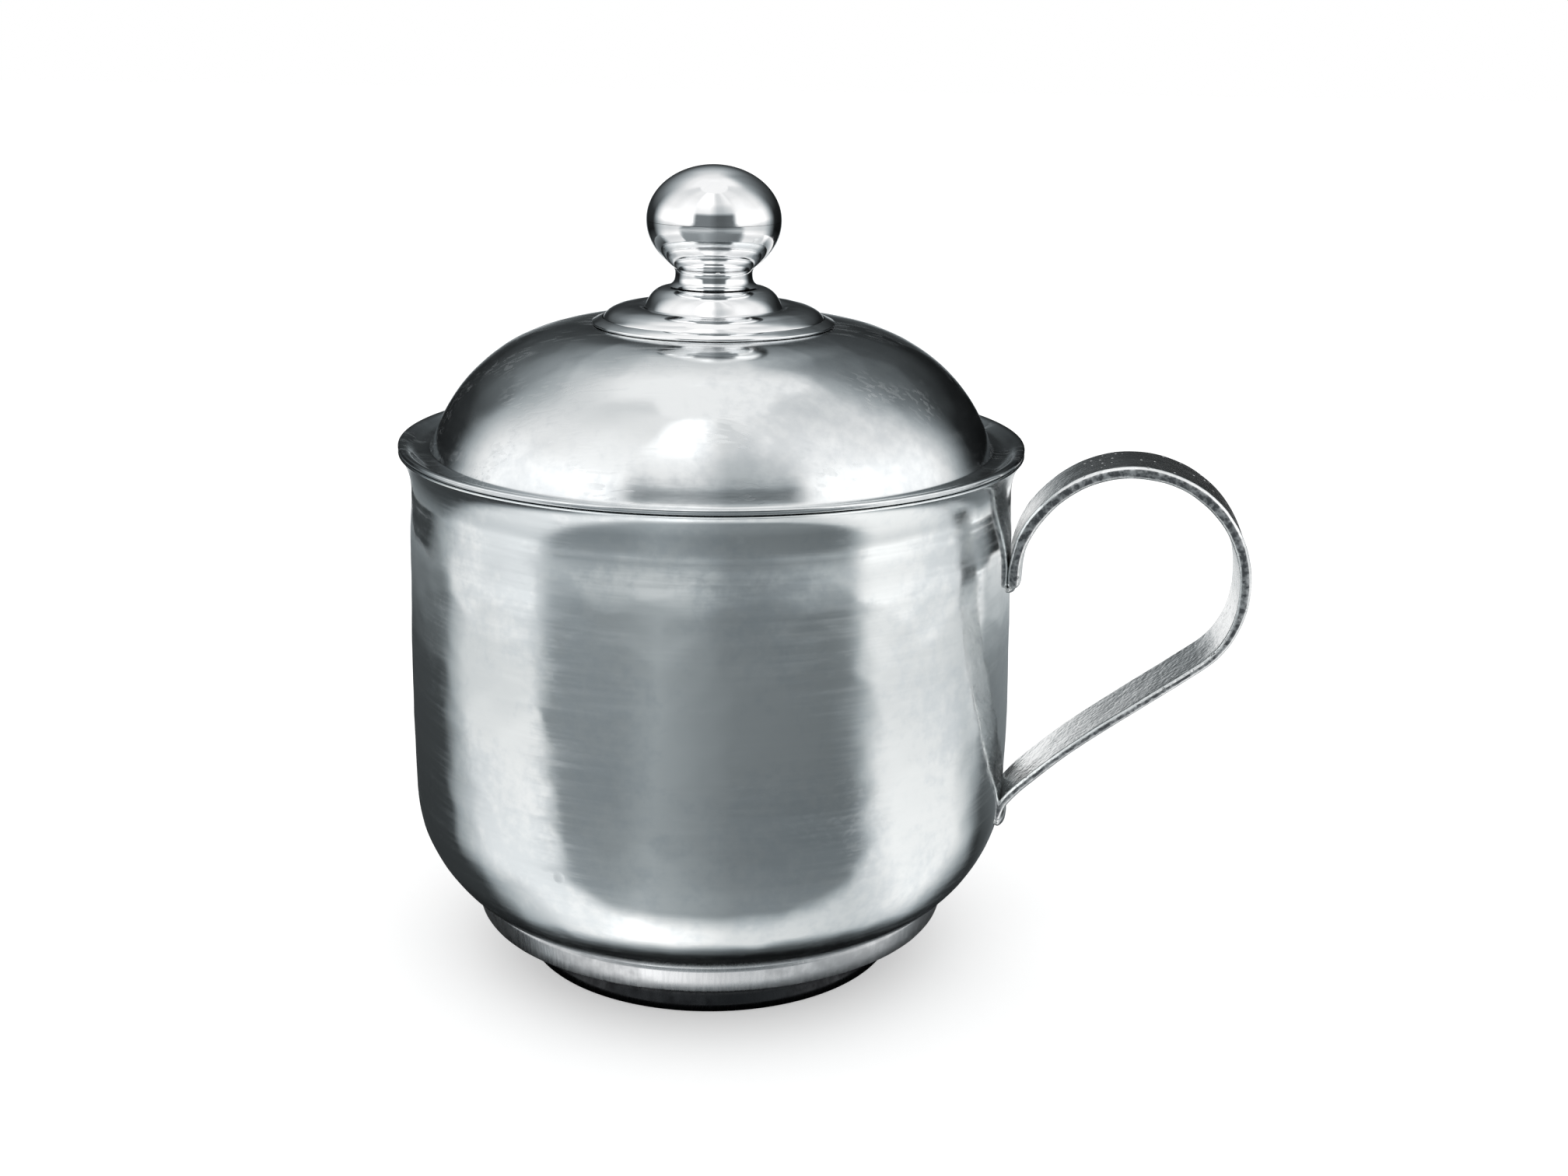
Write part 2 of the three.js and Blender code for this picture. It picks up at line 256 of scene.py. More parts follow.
def scratches_effect():
    """Fine lines left by handling and cleaning, in three directions and in patches."""
    group, given, result = effect("handling_scratches", {"Amount": 0.5},
                                  {"Mask": "NodeSocketFloat", "Height": "NodeSocketFloat"})
    lines = None
    for lean, along, over in ((20, 0.05, 1.5), (-48, 0.08, 1.2), (75, 0.06, 1.8)):
        grain = noise(group, given["Place"], 1.0, 0.0, (along, over, over), (lean, lean / 2, lean))
        line = rise(group, grain, 0.66, 0.70)
        lines = line if lines is None else calc(group, "MAXIMUM", lines, line)
    patches = rise(group, noise(group, given["Place"], 0.09), 0.44, 0.62)
    mask = calc(group, "MULTIPLY", calc(group, "MULTIPLY", lines, patches), given["Amount"])
    group.links.new(mask, result["Mask"])
    group.links.new(calc(group, "MULTIPLY", mask, -1.0), result["Height"])
    return group


def tarnish_effect():
    """Uneven tarnish. The tint drifts between clean and slightly dull silver."""
    group, given, result = effect(
        "uneven_tarnish", {"Clean": (0.9, 0.9, 0.9, 1), "Dull": (0.6, 0.6, 0.6, 1), "Amount": 0.5},
        {"Color": "NodeSocketColor", "Mask": "NodeSocketFloat"})
    broad = calc(group, "MULTIPLY", noise(group, given["Place"], 0.05, 3.0), 0.65)
    fine = calc(group, "MULTIPLY", noise(group, given["Place"], 0.6, 4.0), 0.35)
    mask = rise(group, calc(group, "ADD", broad, fine), 0.42, 0.62)
    mask = calc(group, "MULTIPLY", mask, given["Amount"])
    group.links.new(blend(group, mask, given["Clean"], given["Dull"]), result["Color"])
    group.links.new(mask, result["Mask"])
    return group


def pits_effect():
    """Small round pits, a share of them left out at random."""
    group, given, result = effect("pits", {"Spacing": 3.0, "Share": 0.3},
                                  {"Mask": "NodeSocketFloat", "Height": "NodeSocketFloat"})
    cells = group.nodes.new("ShaderNodeTexVoronoi")
    group.links.new(given["Place"], cells.inputs["Vector"])
    group.links.new(calc(group, "DIVIDE", 1 / MM, given["Spacing"]), cells.inputs["Scale"])
    pick = group.nodes.new("ShaderNodeSeparateColor")
    group.links.new(cells.outputs["Color"], pick.inputs[0])
    chosen = calc(group, "LESS_THAN", pick.outputs[0], given["Share"])
    dot = rise(group, cells.outputs["Distance"], 0.04, 0.17, 1.0, 0.0)
    mask = calc(group, "MULTIPLY", dot, chosen)
    group.links.new(mask, result["Mask"])
    group.links.new(calc(group, "MULTIPLY", mask, -1.0), result["Height"])
    return group


SCRATCHES, TARNISH, PITS = scratches_effect(), tarnish_effect(), pits_effect()
SCRATCH_DEPTH = 0.002
SCRATCH_DULLS, TARNISH_DULLS, PIT_DULLS = 0.15, 0.12, 0.2


def placed(tree, group, place, **values):
    """One use of a shader group on a place, with its own values."""
    node = tree.nodes.new("ShaderNodeGroup")
    node.node_tree = group
    tree.links.new(place, node.inputs["Place"])
    for label, value in values.items():
        node.inputs[label].default_value = value
    return node.outputs


def silver(name, clean, dull, polish, tarnish=0.5, scratches=0.5, ripple=(0.0, 6.0), pits=None,
           grain=None):
    """A silver finish: its tints, roughness, share of tarnish and scratches, ripple (depth, width),
    pits (spacing, share, depth) and polishing or file marks (depth, then scale along x, y and z)."""
    material = bpy.data.materials.new(name)
    material.use_nodes = True
    tree = material.node_tree
    shader = tree.nodes["Principled BSDF"]
    shader.inputs["Metallic"].default_value = 1.0
    place = tree.nodes.new("ShaderNodeTexCoord").outputs["Object"]
    tint = placed(tree, TARNISH, place, Clean=(*clean, 1), Dull=(*dull, 1), Amount=tarnish)
    lines = placed(tree, SCRATCHES, place, Amount=scratches)
    rough = calc(tree, "MULTIPLY_ADD", tint["Mask"], TARNISH_DULLS, polish)
    rough = calc(tree, "MULTIPLY_ADD", lines["Mask"], SCRATCH_DULLS, rough)
    height = calc(tree, "MULTIPLY", lines["Height"], SCRATCH_DEPTH)
    wave = noise(tree, place, 1 / ripple[1], 1.0)
    height = calc(tree, "MULTIPLY_ADD", wave, ripple[0], height)
    if pits:
        spacing, share, depth = pits
        dots = placed(tree, PITS, place, Spacing=spacing, Share=share)
        height = calc(tree, "MULTIPLY_ADD", dots["Height"], depth, height)
        rough = calc(tree, "MULTIPLY_ADD", dots["Mask"], PIT_DULLS, rough)
    if grain:
        marks = noise(tree, place, 1.0, 3.0, grain[1:])
        height = calc(tree, "MULTIPLY_ADD", marks, grain[0], height)
        rough = calc(tree, "ADD", rough, rise(tree, marks, 0.35, 0.7, -0.02, 0.06))
    bump = tree.nodes.new("ShaderNodeBump")
    bump.inputs["Distance"].default_value = MM
    tree.links.new(height, bump.inputs["Height"])
    tree.links.new(bump.outputs[0], shader.inputs["Normal"])
    tree.links.new(tint["Color"], shader.inputs["Base Color"])
    tree.links.new(rough, shader.inputs["Roughness"])
    return material


def bowl_line(steps):
    """The bowl's outside, from the axis under the floor out and up to the lip."""
    fall = radians(CORNER_TURN)
    corner = (CORNER_Z - FLOOR_Z) / (1 - sin(fall))
    lower = (BELLY_R - CORNER_R) / (1 - cos(fall))
    belly = (BELLY_R, CORNER_Z + lower * sin(fall))
    drawn_in, throat = (43.78, 63.5), (THROAT_R, THROAT_Z)
    return joined(
        [(r, FLOOR_Z) for r in (0, 4, 8, 12)],
        arc((CORNER_R - corner * cos(fall), FLOOR_Z + corner), corner, -90, -CORNER_TURN, steps),
        arc((BELLY_R - lower, belly[1]), lower, -CORNER_TURN, 0, steps),
        sweep(belly, (BELLY_R + 0.2, 42), (43.9, 55), drawn_in, 3 * steps),
        sweep(drawn_in, (43.7, 67), (THROAT_R, 68.6), throat, steps),
        sweep(throat, (43.22, 73.2), (43.85, 75.4), (LIP_R, LIP_Z - 0.2), steps))


lip_edge = [(LIP_R - 0.04, LIP_Z - 0.08), (LIP_R - 0.15, LIP_Z), (LIP_R - 0.85, LIP_Z),
            (LIP_R - 1.0, LIP_Z - 0.08)]
outside, inside = bowl_line(22), beside(bowl_line(12), BOWL_GAUGE)
inside[-1] = (LIP_R - 1.1, LIP_Z - 0.25)
bowl = turned("bowl", outside + lip_edge + inside[::-1], BOWL_SIDES)
planish(bowl, 5.5, 0.09, lambda r, z: min((LIP_Z - 3 - z) / 8, (z - 11) / 5))
bowl_silver = silver("bowl_silver", (0.87, 0.895, 0.895), (0.68, 0.73, 0.76), 0.10,
                     tarnish=0.6, scratches=0.25, ripple=(0.01, 9), pits=(6, 0.05, 0.02),
                     grain=(0.004, 0.06, 0.06, 1.3))
dress(bowl, "cup", "polished_silver", bowl_silver, "cup_bowl")

# Girdle.
# A strip of silver bent into a hoop and soldered round the lower bowl, to stiffen it over the foot.
# It was left from the file, with upright marks.
GIRDLE_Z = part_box("foot_girdle")[0][2] / MM
GIRDLE_R, GIRDLE_FLARE, GIRDLE_GAUGE = 35.3, 0.4, 1.5
GIRDLE_TOP = GIRDLE_Z + 3.8
girdle = turned("girdle", [
    (GIRDLE_R - GIRDLE_GAUGE, GIRDLE_Z), (GIRDLE_R - 0.45, GIRDLE_Z),
    (GIRDLE_R - 0.12, GIRDLE_Z + 0.08), (GIRDLE_R, GIRDLE_Z + 0.3), (GIRDLE_R + 0.2, GIRDLE_Z + 1.7),
    (GIRDLE_R + GIRDLE_FLARE, GIRDLE_TOP - 0.6), (GIRDLE_R + GIRDLE_FLARE, GIRDLE_TOP - 0.3),
    (GIRDLE_R + 0.25, GIRDLE_TOP - 0.06), (GIRDLE_R - 0.1, GIRDLE_TOP), (GIRDLE_R - 1.0, GIRDLE_TOP)],
    BOWL_SIDES, ring=True)
planish(girdle, 3.5, 0.03)
filed_silver = silver("filed_silver", (0.74, 0.75, 0.76), (0.5, 0.51, 0.52), 0.26,
                      tarnish=0.8, scratches=0.3, ripple=(0.02, 3), grain=(0.03, 2.4, 2.4, 0.1))
dress(girdle, "cup", "foot_silver", filed_silver, "foot_girdle")

# Foot ring.
# A plain collet of silver, soldered under the bowl, which the cup stands on.
# It was never polished. Its tint is painted almost black, as painted shade for the shadow under the girdle.
FOOT_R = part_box("foot_ring")[1][1] / MM
FOOT_WALL, FOOT_TOP = 1.4, 6.0
foot_inner = FOOT_R - FOOT_WALL
foot = turned("foot", [
    (foot_inner, 0), (FOOT_R - 0.15, 0), (FOOT_R, 0.15), (FOOT_R, 0.9), (FOOT_R - 0.1, 1.3),
    (FOOT_R - 0.45, 2.1), (FOOT_R - 0.6, 3.0), (FOOT_R - 0.6, FOOT_TOP),
    (foot_inner - 0.3, FOOT_TOP - 0.6), (foot_inner - 0.3, 1.5)], BOWL_SIDES, ring=True)
# The near-black tints below are painted shade, not a colour of the silver.
foot_silver = silver("foot_silver_painted_shade", (0.05, 0.052, 0.055), (0.02, 0.02, 0.022), 0.22,
                     tarnish=0.9, scratches=0.2, grain=(0.01, 2.4, 2.4, 0.1))
dress(foot, "cup", "foot_silver", foot_silver, "foot_ring")

# Handle.
# A flat silver strap, its arrises rounded and bright, its edges left from the file and tinted dark and mottled,
# as painted shade. The loop starts flush on the wall and is a little stouter than the leg, which sweeps back.
# Both ends are dished to seat on the wall, and soldered to it.
STRAP_W, STRAP_GAUGE, STRAP_ARRIS, STRAP_STRIPS = 11.4, 1.15, 0.45, 16
LOOP_R, LOOP_AT = 16.27, (60.7, 60.2)
TIGHTENS, TIGHT_R, LOOP_END = -16, 14.6, -52
TOP_END, TAIL = 58.6, (43.7, 22.8)
LOOP_STOUTER, STOUTER_OVER = 0.55, 9
FLUSH_TO, FREE_FROM = 45.6, 49
# The side faces' tint runs between these two: painted shade for the dark that these faces reflect, mottled like
# file marks.
FILED_SHADE_DARK, FILED_SHADE_LIGHT = (0.16, 0.17, 0.18, 1), (0.62, 0.64, 0.65, 1)
FILED_DULLS = 0.22


def strap_line():
    """The strap's middle, seen from the side."""
    shift = LOOP_R - TIGHT_R
    turn_at = radians(TIGHTENS)
    tight_at = (LOOP_AT[0] + shift * cos(turn_at), LOOP_AT[1] + shift * sin(turn_at))
    end = arc(tight_at, TIGHT_R, LOOP_END, LOOP_END, 1)[0]
    heading = radians(LOOP_END)
    leg_pull = (end[0] + 12 * sin(heading), end[1] - 12 * cos(heading))
    landing = (45.4, 26.6)
    start = LOOP_AT[0] - LOOP_R
    return joined(
        [(start, TOP_END), (start, TOP_END + 0.8)],
        arc(LOOP_AT, LOOP_R, 180, TIGHTENS, 90),
        arc(tight_at, TIGHT_R, TIGHTENS, LOOP_END, 20),
        sweep(end, leg_pull, (51.2, 34), landing, 44),
        sweep(landing, (44.4, 25.4), (44, 24.5), TAIL, 9), closest=0.1)


def wall_drop(y):
    """How far the round wall falls back at a distance to either side of the handle's middle."""
    return THROAT_R - sqrt(THROAT_R ** 2 - y ** 2)


strap = chain("strap", strap_line(), y=-STRAP_W / 2)
bpy.ops.mesh.select_all(action="SELECT")
strip_width = STRAP_W / STRAP_STRIPS * MM
for _ in range(STRAP_STRIPS):
    bpy.ops.mesh.extrude_edges_move(TRANSFORM_OT_translate={"value": (0, strip_width, 0)})
bpy.ops.mesh.select_all(action="SELECT")
bpy.ops.mesh.normals_make_consistent(inside=False)
bpy.ops.object.mode_set(mode="OBJECT")
gauge = strap.modifiers.new("gauge", "SOLIDIFY")
gauge.thickness = STRAP_GAUGE * MM
gauge.offset = 0
gauge.use_even_offset = True
bpy.ops.object.modifier_apply(modifier=gauge.name)
for v in strap.data.vertices:
    x, z = v.co.x / MM - AXIS - LOOP_AT[0], v.co.z / MM - LOOP_AT[1]
    if x * x + z * z < LOOP_R ** 2 and z > -STOUTER_OVER:
        stouter = 1 - LOOP_STOUTER * min(1, (z + STOUTER_OVER) / STOUTER_OVER) / LOOP_R
        v.co.x = (AXIS + LOOP_AT[0] + x * stouter) * MM
        v.co.z = (LOOP_AT[1] + z * stouter) * MM
arris = strap.modifiers.new("arris", "BEVEL")
arris.width = STRAP_ARRIS * MM
arris.segments = 4
arris.profile = 0.30
arris.limit_method = "ANGLE"
arris.angle_limit = radians(50)
bpy.ops.object.modifier_apply(modifier=arris.name)
planish(strap, 3, 0.05)
for v in strap.data.vertices:
    x, y = v.co.x / MM - AXIS, v.co.y / MM
    free = max(0.0, min(1.0, (x - FLUSH_TO) / (FREE_FROM - FLUSH_TO)))
    v.co.x -= wall_drop(y) * (1 - free * free * (3 - 2 * free)) * MM
bpy.ops.object.shade_smooth_by_angle(angle=radians(40))
strap_silver = silver("strap_silver", (0.95, 0.96, 0.96), (0.72, 0.74, 0.75), 0.24,
                      tarnish=0.3, scratches=0.3, ripple=(0.07, 0.8), pits=(1.4, 0.8, 0.28))
tree = strap_silver.node_tree
shader = tree.nodes["Principled BSDF"]
place = tree.nodes.new("ShaderNodeTexCoord").outputs["Object"]
sides = tree.nodes.new("ShaderNodeSeparateXYZ")
tree.links.new(place, sides.inputs[0])
half_width = STRAP_W / 2
# The strap's side faces get a darker, mottled tint, which is painted shade, and a rougher finish from the file.
filed_and_shaded = rise(tree, calc(tree, "ABSOLUTE", sides.outputs["Y"]),
             (half_width - 0.15) * MM, (half_width - 0.05) * MM)
filed_mottle_and_shade = tree.nodes.new("ShaderNodeValToRGB")
tree.links.new(noise(tree, place, 1.3, 3.0), filed_mottle_and_shade.inputs[0])
for element, position, tint in zip(filed_mottle_and_shade.color_ramp.elements, (0.42, 0.66), (FILED_SHADE_DARK, FILED_SHADE_LIGHT)):
    element.position, element.color = position, tint
clean_face = shader.inputs["Base Color"].links[0].from_socket
tree.links.new(blend(tree, filed_and_shaded, clean_face, filed_mottle_and_shade.outputs[0]), shader.inputs["Base Color"])
smooth_face = shader.inputs["Roughness"].links[0].from_socket
tree.links.new(calc(tree, "MULTIPLY_ADD", filed_and_shaded, FILED_DULLS, smooth_face), shader.inputs["Roughness"])
dress(strap, "cup", "strap_silver", strap_silver, "handle_strap")

# Solder at the handle.
# A bead of silver solder run into the corner at each end of the strap, rubbed smooth by hand.
# It stays duller than the silver on both sides of it.
solder_silver = silver("solder_silver", (0.78, 0.79, 0.79), (0.5, 0.51, 0.52), 0.22,
                       tarnish=0.8, scratches=0.2, ripple=(0.06, 1.2))


def solder_bead(name, node, x, z, half_depth, half_height):
    """A flattened ball, bent to the round of the wall and left uneven."""
    bpy.ops.object.select_all(action="DESELECT")
    bpy.ops.mesh.primitive_uv_sphere_add(segments=48, ring_count=24, radius=MM,
                                         location=((AXIS + x) * MM, 0, z * MM))
    bead = bpy.context.object
    bead.name = name
    bead.scale = (half_depth, STRAP_W / 2 - 0.6, half_height)
    bpy.ops.object.transform_apply(location=True, rotation=True, scale=True)
    for v in bead.data.vertices:
        v.co.x -= wall_drop(v.co.y / MM) * MM
    bpy.ops.object.shade_smooth()
    planish(bead, 1.3, 0.07)
    dress(bead, "cup", "silver_solder", solder_silver, node)


solder_bead("upper_solder", "handle_upper_solder", THROAT_R + 0.6, TOP_END - 0.4, 0.9, 1.1)
solder_bead("lower_solder", "handle_lower_solder", TAIL[0] + 0.2, TAIL[1] - 0.5, 1.0, 1.3)

# Cover.
# Raised from one sheet of silver: a flange that lies in the lip, a gutter and a high dome.
# A small hole in its crown, under the steps, let the air out while they were soldered on.
COVER_GAUGE = 0.8
COVER_EDGE = LIP_Z + 0.15 + COVER_GAUGE
SHOULDER_R, SHOULDER_AT = 23.9, (17.4, 70.3)
CREASE_R, GUTTER_R, GUTTER_Z = 39.4, 41.8, 76.85
CROWN_Z = SHOULDER_AT[1] + SHOULDER_R
VENT_R = 1.5
shoulder_foot = degrees(acos((CREASE_R - SHOULDER_AT[0]) / SHOULDER_R))
crease = arc(SHOULDER_AT, SHOULDER_R, shoulder_foot, shoulder_foot, 1)[0]
gutter, gutter_inner = (GUTTER_R, GUTTER_Z), (40.45, GUTTER_Z + 0.3)
cover_line = joined(
    sweep((LIP_R - 0.35, COVER_EDGE), (LIP_R - 1.6, COVER_EDGE), (43.2, GUTTER_Z), gutter, 16),
    sweep(gutter, (40.9, GUTTER_Z), (40.55, GUTTER_Z + 0.05), gutter_inner, 8),
    sweep(gutter_inner, (40.1, 77.9), (CREASE_R + 0.3, 79), crease, 8),
    arc(SHOULDER_AT, SHOULDER_R, shoulder_foot + 1.5, 89.5, 56),
    [(r, CROWN_Z) for r in (16, 13, 10, 6, VENT_R)])
cover_under = beside(cover_line, COVER_GAUGE)
cover_under[0] = (LIP_R - 0.35, COVER_EDGE - COVER_GAUGE)
cover_under[-1] = (VENT_R, CROWN_Z - COVER_GAUGE)
cover_edge = arc((LIP_R - 0.3, COVER_EDGE - COVER_GAUGE + 0.3), 0.3, -80, 0, 4) \
    + arc((LIP_R - 0.3, COVER_EDGE - 0.3), 0.3, 0, 80, 4)
dome = turned("dome", cover_edge + cover_line + cover_under[::-2][:-1] + [cover_under[0]],
              BOWL_SIDES, ring=True)
planish(dome, 6.5, 0.11, lambda r, z: min((38.6 - r) / 5, (r - 18) / 4))
dome_silver = silver("dome_silver", (0.82, 0.84, 0.845), (0.66, 0.69, 0.71), 0.085,
                     tarnish=0.7, scratches=1.0, ripple=(0.012, 5), pits=(6, 0.06, 0.02),
                     grain=(0.012, 0.1, 0.1, 0.5))
dress(dome, "cover", "polished_silver", dome_silver, "cover_dome")

# Bezel.
# A hoop of silver strip, soldered under the flange.
# It drops into the throat of the bowl and keeps the cover central.
bezel_low, bezel_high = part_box("cover_bezel")
BEZEL_R, BEZEL_TOP, BEZEL_FOOT = bezel_high[1] / MM, bezel_high[2] / MM, bezel_low[2] / MM
BEZEL_WALL = 0.9
bezel_inner = BEZEL_R - BEZEL_WALL
bezel = turned("bezel", [
    (bezel_inner, BEZEL_FOOT + 0.15), (bezel_inner + 0.15, BEZEL_FOOT),
    (BEZEL_R - 0.35, BEZEL_FOOT), (BEZEL_R - 0.12, BEZEL_FOOT + 0.2), (BEZEL_R, BEZEL_FOOT + 0.6),
    (BEZEL_R, BEZEL_TOP), (bezel_inner, BEZEL_TOP)], BOWL_SIDES, ring=True)
dress(bezel, "cover", "polished_silver", dome_silver, "cover_bezel")

# Steps on the crown.
# Two rings raised from sheet silver and soldered one on the other, the lower one in a thin seat ring.
# Rubbing in use keeps them bright.
STEP_SIDES, STEP_GAUGE = 160, 0.7
LOWER_R, LOWER_TOP = 15.75, CROWN_Z + 2.7
UPPER_R, UPPER_FOOT, UPPER_TOP = 9.9, CROWN_Z + 2.1, CROWN_Z + 5.3
RING_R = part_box("step_seat_ring")[1][1] / MM
seat_ring = turned("seat_ring", joined(
    [(LOWER_R + 0.1, CROWN_Z + 0.1), (RING_R - 0.1, CROWN_Z + 0.1)],
    arc((RING_R - 0.2, CROWN_Z + 0.3), 0.2, -30, 42, 5),
    [(LOWER_R + 0.25, CROWN_Z + 0.97), (LOWER_R + 0.1, CROWN_Z + 1.0)]),
    STEP_SIDES, ring=True)
planish(seat_ring, 1.6, 0.035)
finial_silver = silver("finial_silver", (0.95, 0.955, 0.96), (0.85, 0.86, 0.87), 0.04,
                       tarnish=0.4, scratches=0.4, ripple=(0.006, 2.5), pits=(3, 0.08, 0.02))
dress(seat_ring, "cover", "finial_silver", finial_silver, "step_seat_ring")


def sheet_ring(name, line):
    """A raised ring of even gauge under its line."""
    return turned(name, line + beside(line, STEP_GAUGE)[::-1], STEP_SIDES, ring=True)


shoulder, flat_from = (12.6, LOWER_TOP - 0.06), (11, LOWER_TOP)
lower_step = sheet_ring("lower_ring", joined(
    [(LOWER_R, CROWN_Z + 0.1)],
    sweep((LOWER_R, CROWN_Z + 0.95), (LOWER_R - 0.45, CROWN_Z + 1.85), (14.3, LOWER_TOP - 0.3), shoulder, 18),
    sweep(shoulder, (12.2, LOWER_TOP), (11.5, LOWER_TOP), flat_from, 5),
    sweep(flat_from, (10.5, LOWER_TOP), (10.1, LOWER_TOP - 0.2), (9.2, LOWER_TOP - 0.7), 6)))
planish(lower_step, 3.5, 0.05)
dress(lower_step, "cover", "polished_silver", finial_silver, "lower_step")
upper_step = sheet_ring("upper_ring", joined(
    sweep((UPPER_R, UPPER_FOOT + 0.35), (UPPER_R - 0.5, UPPER_FOOT + 1.25), (8.9, UPPER_TOP - 0.3),
          (6.8, UPPER_TOP), 18),
    [(5.1, UPPER_TOP + 0.05)]))
planish(upper_step, 3.5, 0.03)
dress(upper_step, "cover", "polished_silver", finial_silver, "upper_step")

# Finial.
# A nearly straight neck, soldered on the upper step, and a hollow ball on it.
# The ball was raised from sheet silver in two halves and soldered where it is widest.
BALL_R, BALL_Z, BALL_SEAM = 9.55, 108.7, 0.04
BALL_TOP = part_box("finial_upper_half")[1][2] / MM
half_z = BALL_Z + 0.07
NECK_FOOT, NECK_TOP, NECK_WAIST = UPPER_TOP + 0.15, 102.1, 5.5
neck = turned("neck", joined(
    sweep((6.45, NECK_FOOT), (5.75, NECK_FOOT + 0.3),
          (NECK_WAIST, NECK_FOOT + 0.7), (NECK_WAIST, NECK_TOP - 0.7), 12),
    [(NECK_WAIST + 0.06, NECK_TOP - 0.3), (NECK_WAIST + 0.2, NECK_TOP),
     (NECK_WAIST - STEP_GAUGE, NECK_TOP), (NECK_WAIST - STEP_GAUGE, NECK_FOOT)]),
    STEP_SIDES, ring=True)
dress(neck, "cover", "finial_silver", finial_silver, "finial_neck")
ball_lower = sheet_ring("ball_lower", sweep(
    (NECK_WAIST + 0.2, NECK_TOP + BALL_SEAM), (7.2, 103.2), (BALL_R, 105.45),
    (BALL_R, half_z - BALL_SEAM), 30))
dress(ball_lower, "cover", "finial_silver", finial_silver, "finial_lower_half")


def half_ball(radius, height, steps):
    """The upper half of the ball from its crown down to its seam."""
    turns = [pi / 2 * (1 - i / steps) for i in range(steps + 1)]
    return [(0, half_z + height)] + [(radius * cos(a), half_z + height * sin(a)) for a in turns[1:]]


crown = BALL_TOP - half_z
ball_upper = turned("ball_upper", half_ball(BALL_R, crown, 36)
                    + half_ball(BALL_R - STEP_GAUGE, crown - STEP_GAUGE, 14)[::-1], STEP_SIDES)
dress(ball_upper, "cover", "finial_silver", finial_silver, "finial_upper_half")

# Studio.
# A plain pale floor in a white room. Round the cup stands a light tent of cloth, open toward the camera.
# Only the silver sees the tent: lit cloth to the left and right, a grey opening in front, dark folds
# behind, and a lit gap at the very back. Under the cup lies its sheet, which ends in front of the foot.
TENT_R, TENT_HIGH, TENT_SIDES = 0.30, 1.20, 128
# The brightness of the wall by its height, in the opening, on the lit cloth, in the folds and in the gap.
# Before a list's first place and past its last, the brightness stays as it is there.
WALL_FRONT = ((0.01, 0.35), (0.04, 0.6), (0.065, 0.18), (0.22, 0.18), (0.265, 0.85), (0.36, 1.0),
              (0.45, 1.25))
WALL_SIDE = ((0, 1.2), (0.05, 0.8), (0.09, 0.8), (0.13, 1.5), (0.20, 1.4), (0.28, 1.1), (0.60, 0.9))
WALL_FOLDS = ((0, 0.05), (0.05, 0.01), (0.15, 0.03), (0.25, 0.15), (0.60, 0.85), (0.80, 1.0))
WALL_GAP = ((0, 1.2), (0.05, 1.0), (0.10, 0.1), (0.13, 0.03), (0.22, 0.08), (0.40, 0.6), (0.60, 0.85),
            (1.20, 1.1))
# Its unevenness by bearing, in degrees from the camera, and where each stretch of it begins.
WALL_ROUND = ((-180, 1.0), (-120, 1.1), (-95, 0.85), (-80, 0.85), (-60, 1.0), (-40, 1.0), (-25, 1.1),
              (-8, 1.1), (6, 0.6), (16, 0.6), (46, 1.0), (62, 1.0), (85, 0.85), (104, 0.85), (140, 0.45),
              (158, 0.5), (175, 1.0))
OPENING_LEANS, OPENING_MIDDLE, OPENING_HALF = (0.05, 0.11), (4.5, -0.5), (56, 36)
JAMB_SOFT, FOLDS_FROM, GAP_FROM = (-6, 5), (88, 126), (156, 170)
EVEN_ABOVE, EVEN_FROM = (0.45, 0.75), (100, 125)
# The brightness of the sheet by its distance from the cup's axis, on its lit part, past its front edge and
# in the folds, and its unevenness by bearing.
# In SHEET_LIT and SHEET_FOLDS the stops nearest the axis are dark: a painted shadow of the cup on the sheet.
SHEET_LIT = ((0.037, 0.01), (0.0405, 0.2), (0.0445, 1.1), (0.06, 1.05), (0.14, 0.95), (0.20, 0.8),
             (0.23, 0.8), (0.30, 1.1))
SHEET_PAST = ((0.08, 0.35), (0.125, 0.26), (0.30, 0.3))
SHEET_FOLDS = ((0.035, 0.01), (0.05, 0.04), (0.18, 0.07), (0.30, 0.3))
SHEET_ROUND = ((-150, 0.8), (-100, 0.85), (-60, 1.0), (-30, 1.0), (-18, 1.3), (6, 0.75), (40, 0.63),
               (58, 1.0), (84, 0.95), (98, 0.8), (116, 3), (150, 4), (170, 1.0))
EDGE_AT, EDGE_STRAIGHT, EDGE_TURNS, EDGE_ROUND = (0.049, 0.063), 0.03, -0.35, (49, 62)
FOLDS_AT, FOLDS_MIDDLE, FOLDS_STRAIGHT, FOLDS_TURN = -0.03, 0.015, 0.04, 0.5
FOLDS_SOFT, FOLDS_SOFTER = 0.006, 0.15
GAP_LIGHT_ROUND, GAP_LIGHT_FAR = (148, 166), (0.09, 0.12)
FLOOR_WIDE, FLOOR_GLOW = 8, 0.4
SHEET_DOWN, FLOOR_DOWN = 0.0001, 0.0002


def staged(name):
    """Names the newest object and stands it round the cup, square to the camera."""
    thing = bpy.context.object
    thing.name = name
    thing.matrix_world = Matrix.Translation((AXIS * MM, 0, 0)) @ around.to_4x4()
    return thing


def seen_in_silver(thing):
    """Leaves a stage piece out of everything but reflections."""
    thing.visible_camera = thing.visible_diffuse = thing.visible_shadow = False


